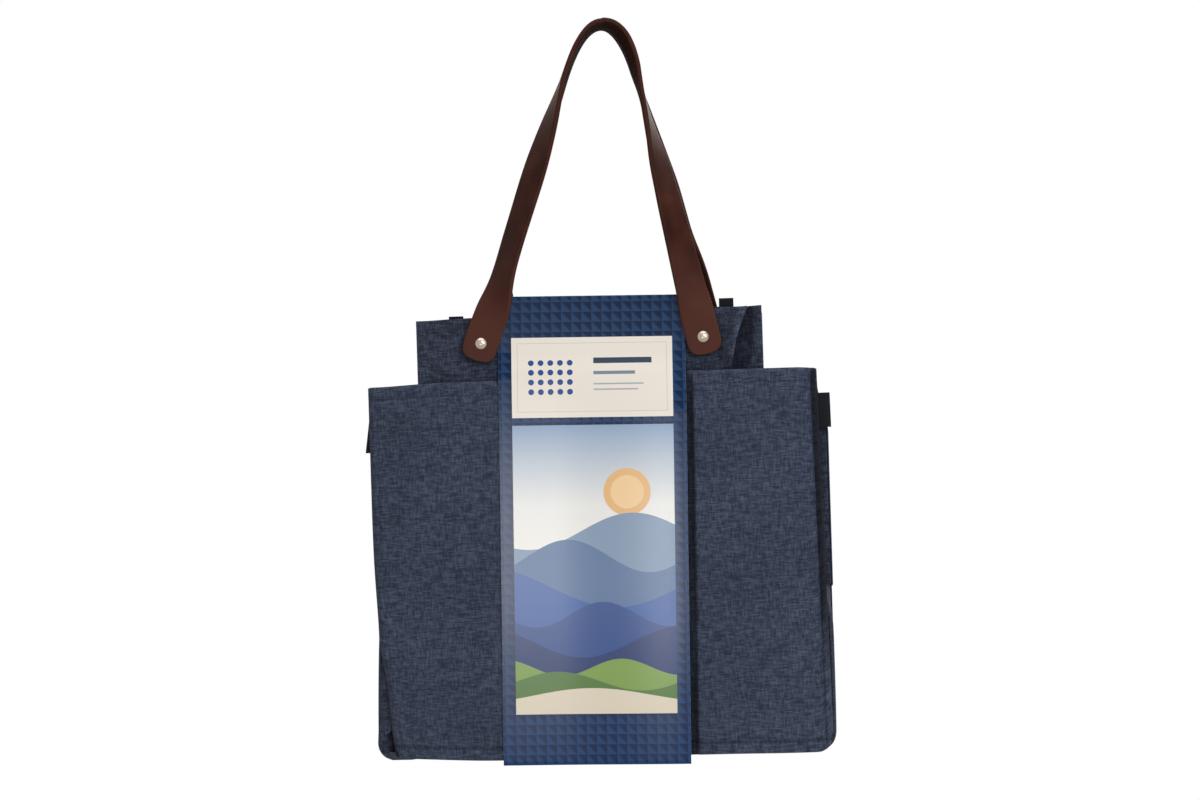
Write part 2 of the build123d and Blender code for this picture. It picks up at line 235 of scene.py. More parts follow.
def quads(grid):
    """The four corners of every cell of a grid of values, in turn."""
    return np.stack([grid[:-1, :-1], grid[1:, :-1], grid[1:, 1:], grid[:-1, 1:]], axis=2)


def signed_volume(points, faces):
    """Six times the volume inside a closed skin of quads, positive where they face outwards."""
    a, b, c, d = (points[faces[:, corner]] for corner in range(4))
    return (a * (np.cross(b, c) + np.cross(c, d))).sum()


def make_piece(name, patches, *materials, thickness=0.0, smooth_rim=0.25):
    """A mesh of patches, with their UV in metres. A patch whose UV grid is one longer than its points closes
    on itself that way, and a tube gets end caps. A thickness turns sheets into thin bodies with soft rims."""
    points, faces, uvs, edges = [], [], [], []
    start = 0
    for grid, uv, edge in patches:
        rows, columns = grid.shape[:2]
        loop, tube = uv.shape[0] > rows, uv.shape[1] > columns
        index = start + np.arange(rows * columns).reshape(rows, columns)
        flat = grid.reshape(-1, 3)
        if tube:
            index = np.concatenate([index, index[:, :1]], axis=1)
        if loop:
            index = np.concatenate([index, index[:1]], axis=0)
        cells = quads(index).reshape(-1, 4)
        corner_uv = quads(uv).reshape(-1, 4, 2)
        caps = [index[0, :-1][::-1], index[-1, :-1]] if tube and not loop else []
        rings = [uv[0, :-1][::-1], uv[-1, :-1]]
        if tube and signed_volume(flat, cells - start) < 0:
            cells = cells[:, ::-1]
            corner_uv = corner_uv[:, ::-1]
            caps = [cap[::-1] for cap in caps]
            rings = [ring[::-1] for ring in rings]
        points.append(flat)
        faces += cells.tolist() + [cap.tolist() for cap in caps]
        uvs.append(corner_uv.reshape(-1, 2))
        uvs += [ring for ring, _ in zip(rings, caps)]
        edges.append(edge.ravel())
        start += len(flat)
    mesh = bpy.data.meshes.new(name)
    mesh.from_pydata((np.concatenate(points) * MM).tolist(), [], faces)
    layer = mesh.uv_layers.new(name="surface")
    layer.data.foreach_set("uv", (np.concatenate(uvs) * MM).ravel())
    # Per-point edge value: edge marks, painted light and painted shade, read by the materials
    edge_light_layer = mesh.attributes.new("edge", "FLOAT", "POINT")
    edge_light_layer.data.foreach_set("value", np.concatenate(edges))
    mesh.polygons.foreach_set("use_smooth", np.ones(len(mesh.polygons), bool))
    for material in materials:
        mesh.materials.append(material)
    made = bpy.data.objects.new(name, mesh)
    bpy.context.scene.collection.objects.link(made)
    if thickness:
        wall = made.modifiers.new("thickness", "SOLIDIFY")
        wall.thickness = thickness * MM
        wall.offset = 0.0
        wall.material_offset = len(materials) - 1
        wall.material_offset_rim = len(materials) - 1
        rim = made.modifiers.new("soft rim", "BEVEL")
        rim.width = smooth_rim * MM
        rim.segments = 2
        rim.limit_method = "ANGLE"
        rim.angle_limit = np.radians(60.0)
        rim.harden_normals = True
    return made


# Materials


def linear(colour):
    """An sRGB hex colour as linear red, green and blue, with full alpha."""
    srgb = np.array([int(colour[place:place + 2], 16) for place in (1, 3, 5)]) / 255.0
    light = np.where(srgb <= 0.04045, srgb / 12.92, ((srgb + 0.055) / 1.055) ** 2.4)
    return (*light.tolist(), 1.0)


def per_metre(size):
    """How many times a pattern of that size in millimetres repeats in a metre."""
    return 1000.0 / size


def add(tree, kind, inputs=None, stops=(), **settings):
    """Adds a node with its settings and colour stops. An input is a value, a node, which gives its first
    output, or a node with the name of another output."""
    made = tree.nodes.new("ShaderNode" + kind)
    for key, value in settings.items():
        setattr(made, key, value)
    for socket, value in (inputs or {}).items():
        source = value if isinstance(value, tuple) else (value, 0)
        if isinstance(source[0], bpy.types.Node):
            tree.links.new(source[0].outputs[source[1]], made.inputs[socket])
        else:
            made.inputs[socket].default_value = value
    for place, colour in stops[1:-1]:
        made.color_ramp.elements.new(place).color = linear(colour)
    for element, (place, colour) in zip((0, -1), stops[:1] + stops[-1:]):
        made.color_ramp.elements[element].position = place
        made.color_ramp.elements[element].color = linear(colour)
    return made


# Sockets of the colour Mix node
FACTOR, FIRST, SECOND, MIXED = 0, 6, 7, 2


def lay_over(tree, colour, layers):
    """Colours laid over a ground one after another, each as far as its mask of 0 to 1 lets it show."""
    for mask, ink in layers:
        mixed = add(tree, "Mix", {FACTOR: mask, FIRST: colour, SECOND: ink}, data_type="RGBA")
        colour = (mixed, MIXED)
    return colour


def new_material(name):
    """A node material, its tree and the node of its coordinates."""
    made = bpy.data.materials.new(name)
    made.use_nodes = True
    tree = made.node_tree
    tree.nodes.clear()
    return made, tree, add(tree, "TexCoord")


def melange_cloth(name, dark, mid, light):
    """Plain-woven melange polyester. The eye sees threads in rows, each with short pale and dark slubs, on a
    matt navy ground with a faint bloom. Painted shade darkens it in creases, gaps and under parts, and a value
    per point paints light on its edges and ridges and shade in chosen places. The 0.4 mm threads are drawn
    over twice as coarse, and neighbours lie seven lengths apart in the noise, so that they differ."""
    made, tree, place = new_material(name)
    parts = add(tree, "SeparateXYZ", {"Vector": (place, "UV")})
    threads = []
    apart = thread_change * per_metre(thread_pitch)
    weft, warp = (per_metre(weft_slub), apart, 1.0), (apart, per_metre(warp_slub), 1.0)
    for across, along, size in (("Y", "X", weft), ("X", "Y", warp)):
        row = add(tree, "Math", {0: (parts, across), 1: thread_pitch * MM}, operation="SNAP")
        lane = add(tree, "CombineXYZ", {across: row, along: (parts, along)})
        scaled = add(tree, "VectorMath", {0: lane, 1: size}, operation="MULTIPLY")
        slubs = {"Vector": scaled, "Scale": 1.0, "Detail": 2.0, "Roughness": 0.5}
        threads.append(add(tree, "TexNoise", slubs, noise_dimensions="2D"))
    weave = add(tree, "Mix", {"Factor": warp_share, "A": threads[0], "B": threads[1]})
    shade = add(tree, "ValToRGB", {"Fac": weave}, [(0.37, dark), (0.5, mid), (0.65, light)])
    dye = {"Vector": (place, "UV"), "Scale": per_metre(dye_patch), "Detail": 1.0}
    blotch = add(tree, "TexNoise", dye, noise_dimensions="2D")
    uneven = add(tree, "MapRange", {"Value": blotch, "To Min": 0.86, "To Max": 1.14})
    # Painted shade: occlusion darkens the colour near other surfaces, in creases, gaps and under parts, down
    # to 0.12 of it
    hollow = add(tree, "AmbientOcclusion", {"Distance": crease_reach * MM}, samples=6)
    crease = {"Value": (hollow, "AO"), "From Min": 0.1, "From Max": 0.85, "To Min": 0.12}
    depth = add(tree, "MapRange", crease)
    # Per-point edge value: painted light above 0, up to half again as bright at 1, and painted shade below 0,
    # down to black at -2
    edge_and_painted_light = add(tree, "Attribute", attribute_name="edge")
    painted_light_and_shade = add(tree, "MapRange", {"Value": (edge_and_painted_light, "Fac"), "From Min": -2.0, "To Max": 1.5})
    value = add(tree, "Math", {0: uneven, 1: depth}, operation="MULTIPLY")
    value = add(tree, "Math", {0: value, 1: painted_light_and_shade}, operation="MULTIPLY")
    colour = add(tree, "HueSaturation", {"Color": shade, "Value": value})
    bump = add(tree, "Bump", {"Height": weave, "Strength": 0.5, "Distance": 0.4 * MM})
    shader = add(tree, "BsdfPrincipled", {
        "Base Color": colour, "Normal": bump, "Roughness": 0.92, "Specular IOR Level": 0.07,
        "Sheen Weight": 0.06, "Sheen Roughness": 0.5,
    })
    add(tree, "OutputMaterial", {"Surface": shader})
    return made


def brown_leather():
    """Vegetable-tanned cowhide, dyed dark brown and waxed. The eye sees a fine pebble grain, a soft satin
    gloss, patchy dye, paler edges and a dark matt inner side, and painted light makes its lower ends paler.
    The
    0.4 mm grain is drawn about twice as coarse."""
    made, tree, place = new_material("waxed brown cowhide")
    edge_and_painted_light = add(tree, "Attribute", attribute_name="edge")
    patchy = add(tree, "TexNoise", {"Vector": (place, "UV"), "Scale": per_metre(26.0), "Detail": 5.0})
    dye = add(tree, "ValToRGB", {"Fac": patchy}, [(0.32, "#2b1510"), (0.52, "#381d16"), (0.70, "#45261e")])
    inner = add(tree, "Math", {0: (edge_and_painted_light, "Fac"), 1: -1.0}, operation="MULTIPLY", use_clamp=True)
    # Paler edges and painted light on the lower ends share one colour; the dark inner side is the flesh's own
    # colour
    colour = lay_over(tree, dye, [((edge_and_painted_light, "Fac"), linear("#54332b")), (inner, linear("#2a1712"))])
    pebbles = {"Vector": (place, "UV"), "Scale": per_metre(0.9)}
    grain = add(tree, "TexVoronoi", pebbles, feature="SMOOTH_F1")
    bump = add(tree, "Bump", {"Height": grain, "Strength": 0.25, "Distance": 0.12 * MM})
    gloss = add(tree, "MapRange", {"Value": patchy, "To Min": 0.36, "To Max": 0.56})
    matt = add(tree, "Math", {0: inner, 1: gloss}, operation="MAXIMUM")
    shader = add(tree, "BsdfPrincipled", {
        "Base Color": colour, "Normal": bump, "Roughness": matt, "IOR": 1.45, "Specular IOR Level": 0.04,
    })
    add(tree, "OutputMaterial", {"Surface": shader})
    return made


def nickel_plate():
    """Nickel-plated steel, domed in a press. The eye sees a warm bright metal with soft handling marks."""
    made, tree, place = new_material("nickel-plated steel")
    marks = add(tree, "TexNoise", {"Vector": (place, "Object"), "Scale": per_metre(1.6), "Detail": 4.0})
    gloss = add(tree, "MapRange", {"Value": marks, "To Min": 0.2, "To Max": 0.38})
    metal = {"Base Color": linear("#ab9d8f"), "Metallic": 1.0, "Roughness": gloss}
    add(tree, "OutputMaterial", {"Surface": add(tree, "BsdfPrincipled", metal)})
    return made


def ribbed_webbing(name, dark, light):
    """Woven polypropylene webbing. The eye sees a near-black strap with fine ribs across its run: the product
    of two sine waves, 1.7 mm and 2.1 mm long."""
    made, tree, place = new_material(name)
    parts = add(tree, "SeparateXYZ", {"Vector": (place, "UV")})
    waves = []
    for axis, pitch in (("X", 1.7), ("Y", 2.1)):
        turns = {0: (parts, axis), 1: 2.0 * np.pi * per_metre(pitch)}
        turn = add(tree, "Math", turns, operation="MULTIPLY")
        waves.append(add(tree, "Math", {0: turn}, operation="SINE"))
    ribs = add(tree, "Math", {0: waves[0], 1: waves[1]}, operation="MULTIPLY")
    share = add(tree, "MapRange", {"Value": ribs, "From Min": -1.0})
    shade = add(tree, "ValToRGB", {"Fac": share}, [(0.1, dark), (0.9, light)])
    bump = add(tree, "Bump", {"Height": share, "Strength": 0.6, "Distance": 0.4 * MM})
    matt = {"Base Color": shade, "Normal": bump, "Roughness": 0.72, "Specular IOR Level": 0.12}
    add(tree, "OutputMaterial", {"Surface": add(tree, "BsdfPrincipled", matt)})
    return made


def plain_matt(name, dark, light, grain, roughness):
    """Matt thread, board, bare card or paint. The eye sees a fine mottle of two near colours."""
    made, tree, place = new_material(name)
    mottle = add(tree, "TexNoise", {"Vector": (place, "Object"), "Scale": per_metre(grain), "Detail": 4.0})
    shade = add(tree, "ValToRGB", {"Fac": mottle}, [(0.35, dark), (0.65, light)])
    bump = add(tree, "Bump", {"Height": mottle, "Strength": 0.3, "Distance": 0.1 * MM})
    matt = {"Base Color": shade, "Normal": bump, "Roughness": roughness, "Specular IOR Level": 0.1}
    add(tree, "OutputMaterial", {"Surface": add(tree, "BsdfPrincipled", matt)})
    return made


def inside_box(tree, place, centre, size):
    """A mask that is 1 inside a rectangle of the UV map: the larger overshoot of the two axes is below 0."""
    origin = (centre[0] * MM, centre[1] * MM, 0.0)
    half = (size[0] / 2 * MM, size[1] / 2 * MM, 0.0)
    away = add(tree, "VectorMath", {0: (place, "UV"), 1: origin}, operation="SUBTRACT")
    reach = add(tree, "VectorMath", {0: away}, operation="ABSOLUTE")
    over = add(tree, "VectorMath", {0: reach, 1: half}, operation="SUBTRACT")
    axes = add(tree, "SeparateXYZ", {"Vector": over})
    most = add(tree, "Math", {0: (axes, "X"), 1: (axes, "Y")}, operation="MAXIMUM")
    return add(tree, "Math", {0: most, 1: 0.0}, operation="LESS_THAN")


def in_cells(tree, start, pitch):
    """The place inside its own cell, from 0 to 1 both ways, of a grid of square cells."""
    repeats = (per_metre(pitch), per_metre(pitch), 0.0)
    cells = add(tree, "VectorMath", {0: start, 1: repeats}, operation="MULTIPLY")
    return add(tree, "VectorMath", {0: cells}, operation="FRACTION")


def dot_field(tree, place, centre, counts, pitch):
    """A mask of dots in rows: inside a rectangle, each cell is 1 near its own middle."""
    size = (counts[0] * pitch, counts[1] * pitch)
    corner = ((centre[0] - size[0] / 2) * MM, (centre[1] - size[1] / 2) * MM, 0.0)
    away = add(tree, "VectorMath", {0: (place, "UV"), 1: corner}, operation="SUBTRACT")
    within = in_cells(tree, away, pitch)
    gap = add(tree, "VectorMath", {0: within, 1: (0.5, 0.5, 0.0)}, operation="DISTANCE")
    near = add(tree, "Math", {0: (gap, "Value"), 1: 0.3}, operation="LESS_THAN")
    field = inside_box(tree, place, centre, size)
    return add(tree, "Math", {0: near, 1: field}, operation="MULTIPLY")


def stud_print(tree, place, parts):
    """Blue studs: each square cell is darker above its diagonal, and painted shade darkens the colours towards
    the top fold, where the card curves back.
    """
    axes = add(tree, "SeparateXYZ", {"Vector": in_cells(tree, (place, "UV"), stud_pitch)})
    slope = add(tree, "Math", {0: (axes, "X"), 1: (axes, "Y")}, operation="ADD")
    diagonal = {"Value": slope, "From Min": 0.85, "From Max": 1.2}
    facet = add(tree, "MapRange", diagonal, interpolation_type="SMOOTHSTEP")
    # Painted shade: the colours darken from 150 mm to 330 mm up the band, towards the top fold
    rise = add(tree, "MapRange", {"Value": (parts, "Y"), "From Min": 150.0 * MM, "From Max": 330.0 * MM})
    lit = lay_over(tree, linear("#173a65"), [(rise, linear("#1e3a5e"))])
    shaded = lay_over(tree, linear("#041f46"), [(rise, linear("#041c3b"))])
    return lay_over(tree, lit, [(facet, shaded)])


def landscape_print(tree, place, parts):
    """A plain landscape of the builder's own: a pale sky, discs, and hills whose tops are sine waves."""
    foot, top = picture_foot * MM, (picture_foot + picture_size[1]) * MM
    rise = add(tree, "MapRange", {"Value": (parts, "Y"), "From Min": foot, "From Max": top})
    sky = add(tree, "ValToRGB", {"Fac": rise}, [(0.35, "#efe9df"), (0.72, "#e3e2de"), (1.0, "#8fa5c0")])
    sun = (24.0 * MM, 196.0 * MM, 0.0)
    gap = add(tree, "VectorMath", {0: (place, "UV"), 1: sun}, operation="DISTANCE")
    layers = []
    for radius, colour in ((17.0, "#e0b27a"), (12.0, "#ecc896")):
        disc = add(tree, "Math", {0: (gap, "Value"), 1: radius * MM}, operation="LESS_THAN")
        layers.append((disc, linear(colour)))
    hills = (
        (168.0, 13.0, 150.0, 0.4, "#7f93ab"),
        (150.0, 12.0, 118.0, 2.6, "#5b7397"),
        (128.0, 15.0, 190.0, 4.2, "#3f5f9c"),
        (108.0, 9.0, 96.0, 1.2, "#2f4c86"),
        (88.0, 11.0, 140.0, 5.1, "#26386a"),
        (70.0, 6.0, 84.0, 0.2, "#7d9a4e"),
        (60.0, 7.0, 122.0, 3.0, "#55773c"),
        (50.0, 5.0, 170.0, 1.7, "#d8cdb8"),
    )
    for height, swell, length, phase, colour in hills:
        turns = {0: (parts, "X"), 1: 2.0 * np.pi * per_metre(length), 2: phase}
        turn = add(tree, "Math", turns, operation="MULTIPLY_ADD")
        wave = add(tree, "Math", {0: turn}, operation="SINE")
        top = add(tree, "Math", {0: wave, 1: swell * MM, 2: height * MM}, operation="MULTIPLY_ADD")
        under = add(tree, "Math", {0: (parts, "Y"), 1: top}, operation="LESS_THAN")
        layers.append((under, linear(colour)))
    return lay_over(tree, sky, layers)


def printed_card():
    """Coated paperboard, offset printed and varnished. The eye sees a satin blue stud pattern, a cream label
    with plain bars and dots, and a landscape, with the white board showing at its cut edges."""
    made, tree, place = new_material("printed paperboard")
    parts = add(tree, "SeparateXYZ", {"Vector": (place, "UV")})
    label_middle = label_foot + label_size[1] / 2
    panels = [
        (0.0, picture_foot + picture_size[1] / 2, picture_size, landscape_print(tree, place, parts)),
        (0.0, label_middle, label_size, linear("#e9e1d6")),
        (0.0, label_middle, (108.0, 50.0), linear("#c9c4bd")),
        (0.0, label_middle, (107.2, 49.2), linear("#e9e1d6")),
        (22.0, label_middle + 12.0, (42.0, 4.2), linear("#3c4759")),
        (16.0, label_middle + 3.0, (30.0, 2.4), linear("#7d8796")),
        (19.0, label_middle - 5.0, (36.0, 1.1), linear("#a9adb2")),
        (17.0, label_middle - 9.0, (32.0, 1.1), linear("#a9adb2")),
    ]
    layers = [(inside_box(tree, place, (across, up), size), ink) for across, up, size, ink in panels]
    layers.append((dot_field(tree, place, (-30.0, label_middle), (5, 4), 7.0), linear("#33508c")))
    colour = lay_over(tree, stud_print(tree, place, parts), layers)
    scuff = add(tree, "TexNoise", {"Vector": (place, "UV"), "Scale": per_metre(5.0), "Detail": 5.0})
    gloss = add(tree, "MapRange", {"Value": scuff, "To Min": 0.15, "To Max": 0.2})
    varnish = {"Base Color": colour, "Roughness": gloss, "IOR": 1.5, "Specular IOR Level": 0.14}
    add(tree, "OutputMaterial", {"Surface": add(tree, "BsdfPrincipled", varnish)})
    return made


navy = melange_cloth("navy melange polyester", "#292f3e", "#383f4f", "#485062")
# A darker copy of the navy cloth: painted shade for the rim, facings, back wall and end walls, which lie in
# shade
shaded_navy = melange_cloth("navy melange polyester, painted shade", "#222735", "#323746", "#434a5a")
lining = melange_cloth("black polyester lining", "#14151b", "#1d1f27", "#292c36")
leather = brown_leather()
nickel = nickel_plate()
black_webbing = ribbed_webbing("black polypropylene webbing", "#0a0b0f", "#191b22")
tape = ribbed_webbing("navy grosgrain tape", "#11131b", "#20242f")
sewing_thread = plain_matt("navy polyester thread", "#20242f", "#333948", 0.8, 0.7)
board = plain_matt("grey chipboard", "#6f675d", "#8a8277", 2.0, 0.9)
bare_card = plain_matt("uncoated white paperboard", "#d9d6cf", "#ebe8e1", 1.5, 0.85)
print_card = printed_card()


# Cloth pieces


def settle(x, z):
    """How the folded front hangs askew: its sides draw in, its right end rides up and its left foot lifts.
    Each share is a smooth step across the bag or up it."""
    rise = np.clip((z - bottom_z) / (pocket_z - bottom_z), 0.0, 1.0)
    above = ease((z - pocket_z) / (rim_z - pocket_z))
    left, right = ease((-x - 115.0) / 45.0), ease((x - 55.0) / 70.0)
    draw_in = left * (1.6 + 1.2 * ease(3.0 * rise) + 2.4 * hump(z, seam_start_z, 45.0)) - right * 4.3 * rise
    top = 1.0 + 3.2 * ease((x + 65.0) / 130.0) - 1.6 * above
    foot = 3.7 * ease((-x - 70.0) / 90.0) - 1.0 * ease((x - 60.0) / 100.0)
    return x + draw_in, z + top * rise + foot * (1.0 - rise)


def settle_back(x, z):
    """How the back layers draw in at their upper right, above the base."""
    return x - 7.5 * ease((x - 55.0) / 60.0) * ease((z - base_high[2] + 8.0) / 40.0), z


def sleeve_x(z):
    """Middle of the leaning sleeve at a height, counted from the middle of the bag."""
    return (z - rim_z) * np.tan(sleeve_lean)


def front_top(x):
    """Height of the front wall's top edge, whose ends droop."""
    left, right = ease((-x - panel_half + 60.0) / 60.0), ease((x - panel_half + 15.0) / 15.0)
    return pocket_z - cloth / 2 - corner_droop * (left + 0.4 * right)


def front_foot(x):
    """Height of the front wall's bottom edge, with round corners, the left one small beside the seam."""
    radius = np.where(x < 0, seam_corner, corner_radius)
    over = np.clip(np.abs(x) - panel_half + radius, 0.0, radius)
    return bottom_z + cloth / 2 + radius - np.sqrt(radius**2 - over**2)


def front_wall(x, z):
    """How far the front wall stands back from its plane: it swells gently left of the sleeve and sharply right
    of it, rolls back at its side edges, dips along its seams, and is a little uneven."""
    from_sleeve = x - sleeve_x(z)
    left = ease((-from_sleeve - sleeve_half - 1.0) / 40.0)
    right = ease((from_sleeve - sleeve_half - 4.5) / 2.5)
    inside = panel_half - np.abs(x)
    below_hem = ease((front_top(x) - z) / 14.0)
    full = 0.35 + 0.65 * ease((front_top(x) - z) / 30.0)
    y = -(left_puff * left + right_puff * right * full) * ease(inside / 45.0)
    y = y + ripples(x, z, 95.0, 0.6, seed=3) * (left + right) * ease(inside / 20.0) * below_hem
    y = y + ripples(x, z, 24.0, 0.12, seed=4)
    y = y + edge_roll * roll(inside, edge_roll_width)
    y = y + seam_roll * ease((seam_start_z - z) / 30.0) * (x < 0) * roll(inside, seam_roll)
    groove = np.where(x < 0, edge_groove[-1], edge_groove[1])
    y = y + groove * hump(inside, edge_groove_inset, edge_groove_width) * below_hem
    y = y + hem_groove * hump(z, front_top(x) - hem_stitch_drop, 1.3)
    return y + foot_groove * hump(z, bottom_z + foot_stitch_rise, 1.4)


def seam_shift(x, z):
    """How far the left edge is drawn in towards the foot, where the end wall swells out beside it."""
    down = np.clip((seam_start_z - z) / seam_run, 0.0, 1.15)
    return seam_draw_in * down * (1.0 - ease((x + panel_half) / 45.0))


def front_pocket_cloth():
    """Front wall: a profile up the hem, over the top edge, down the front and under the foot, carried along X,
    with its heights stretched to the drooping top and the round corners. Painted shadow darkens a strip along
    the card's right edge, painted shade darkens its foot seam and the turn of its right edge, and painted
    light brightens its top edge and the roll of its right edge."""
    hem_y = middle("front_left_divider", 1)
    face = front_y + cloth / 2
    top, low = pocket_z - cloth / 2, bottom_z + cloth / 2
    corners = [(hem_y, top - hem_depth), (hem_y, top), (face, top), (face, low), (tote_back_y - 1.0, low)]
    line, walk = soft_line(corners, 230, 2.6)
    beside = np.linspace(sleeve_half - 6.0, sleeve_half + 10.0, 26)
    x = np.sort(np.concatenate([edge_steps(panel_half, 120), beside]))[None, :]
    share = (line[:, 1:] - low) / (top - low)
    z = front_foot(x) + share * (front_top(x) - front_foot(x))
    on_front = ease((face + 1.2 - line[:, :1]) / 1.0)
    on_hem = (share > 0.5) * (1.0 - on_front)
    under = ease((line[:, :1] - face - 1.0) / 8.0) * (share < 0.5)
    rolled = np.clip(1.0 - (panel_half - np.abs(x)) / edge_roll_width, 0.0, 1.0)
    y = line[:, :1] + front_wall(x, z) * on_front + 0.4 * edge_roll * on_hem * rolled
    moved_x, moved_z = settle(x + seam_shift(x, z) * (1.0 - 0.5 * under), z)
    # Painted shadow from 4 mm under the card's right edge to 6.5 mm beside it, and painted shade along the
    # foot seam
    beside_sleeve = x - sleeve_x(z) - sleeve_half
    dark = ease((beside_sleeve + 4.0) / 4.0) * ease((6.5 - beside_sleeve) / 2.5)
    dark = dark + 0.5 * hump(z, bottom_z + foot_stitch_rise, 1.0)
    # Painted shade where the right edge turns in, above the foot; painted light on the right edge's roll and
    # the top edge
    turned_in = ease((edge_groove_inset - panel_half + x) / 1.5) * ease((z - bottom_z - 40.0) / 80.0)
    painted_light_and_shade = 0.3 * hump(panel_half - x, 2.6, 1.2) - dark - 1.8 * turned_in
    edge = 0.4 * hump(z, front_top(x), 1.6) + painted_light_and_shade * on_front
    return [patch(bag_x + moved_x, y, moved_z, x, walk[:, None], edge)], (2 * panel_half, walk[-1])


def front_body_cloth():
    """Inner front wall: a plan line with one pleat whose ridge slants, carried up from the foot to the rim.
    The ridge swells out above the pocket's edge. Painted light brightens the ridge's front and the rim edge,
    and painted shade darkens the recess right of the ridge."""
    flat_y = middle("front_rim_facing", 1) - cloth - layer_gap
    back_y = body_high[1] - cloth / 2
    high = [(-body_half, flat_y), (70, flat_y), (100, flat_y - 0.2), (105, flat_y - 3.0), (109, flat_y - 7.6),
            (115, flat_y - 8.4), (117, flat_y - 4.5), (115, flat_y + 1.0), (96, flat_y + 1.7), (95, back_y),
            (118, back_y), (123, flat_y), (body_half, flat_y - 1.2)]
    low = [(-body_half, flat_y), (50, flat_y), (78, flat_y), (92, flat_y), (98, flat_y),
           (103, flat_y), (103.5, flat_y + 0.5), (102, flat_y + 1.0), (84, flat_y + 1.5), (83, back_y),
           (112, back_y), (118, back_y - 1.5), (body_half, flat_y)]
    upper, walk = soft_line(high, 260, 4.0)
    lower, _ = soft_line(low, 260, 4.0)
    hidden = np.linspace(body_low[2], pocket_z - 8.0, 24)
    z = np.concatenate([hidden, np.linspace(pocket_z - 6.0, rim_z, 50)])[:, None]
    slant = np.clip((z - pocket_z) / (rim_z - pocket_z), 0.0, 1.0)
    swell = ease((z - pocket_z + 1.0) / 14.0)
    x = lower[None, :, 0] * (1.0 - slant) + upper[None, :, 0] * slant
    y = lower[None, :, 1] * (1.0 - swell) + upper[None, :, 1] * swell
    y = y + ripples(x, z, 55.0, 0.4, seed=11) * swell
    y = y + 0.35 * hump(z, rim_z - rim_stitch_drop, 1.0)
    z = z + ripples(x, 0.0, 70.0, 0.6, seed=12) * slant
    moved_x, moved_z = settle(x, z)
    # Painted shade in the recess right of the ridge, painted light on the ridge's front and along the rim edge
    recess = ease((x - 112.0 + 10.0 * (1.0 - slant)) / 3.0) * ease((y - flat_y - 1.0) / 1.5)
    edge = ease((flat_y - 5.5 - y) / 2.5) + 0.4 * hump(z, rim_z, 1.5) - recess
    return [patch(bag_x + moved_x, y, moved_z, walk[None, :], z, edge)], (walk[-1], rim_z - body_low[2])


def flat_cloth(node, move, seed):
    """A hidden or plain panel: the box of its frame node as one flat sheet, moved as its side of the bag."""
    low, high = span(node)
    x = np.linspace(low[0] + 1.0, high[0] - 1.0, 60)[None, :] - bag_x
    z = np.linspace(low[2], high[2] - 1.0, 60)[:, None]
    y = (low[1] + high[1]) / 2 + ripples(x, z, 50.0, 0.05, seed)
    moved_x, moved_z = move(x, z)
    return [patch(bag_x + moved_x, y, moved_z, x, z)], (high[0] - low[0], high[2] - low[2])


def creased_cloth(node, hem, seed):
    """A back panel: a profile down the outside, round the crease and up again behind, carried along X.
    A hem is a first run that turns over the top edge."""
    low, high = span(node)
    half, centre = (high[0] - low[0]) / 2, (high[0] + low[0]) / 2
    near, far = low[1] + cloth / 2, high[1] - cloth / 2
    top, foot = high[2] - cloth / 2, low[2] + cloth / 2
    outer = near + hem
    end = base_high[2] - (0.0 if hem else 38.0)
    corners = [(outer, top), (outer, foot), (far, foot), (far, end)]
    if hem:
        corners = [(near, top - hem_depth), (near, top)] + corners
    line, walk = soft_line(corners, 190, 2.4)
    x = edge_steps(half, 90)[None, :]
    inside = half - np.abs(x)
    z = line[:, 1:]
    shown = ease((z - base_high[2] + 6.0) / 12.0) * (line[:, :1] < far - 0.8)
    y = line[:, :1] + ripples(x, z, 60.0, 0.4, seed) * shown
    y = y + 0.6 * left_puff * shown * ease((np.abs(x) - sleeve_half - 8.0) / 40.0) * ease(inside / 30.0)
    y = y - 0.5 * edge_roll * roll(inside, edge_roll_width)
    y = y - 0.4 * hump(z, top - hem_stitch_drop, 1.2) * shown
    z = z - corner_droop * ease((np.abs(x) - half + 50.0) / 50.0) * ease((z - top + 40.0) / 40.0)
    moved_x, moved_z = settle_back(centre - bag_x + x, z)
    return [patch(bag_x + moved_x, y, moved_z, x, walk[:, None])], (2 * half, walk[-1])


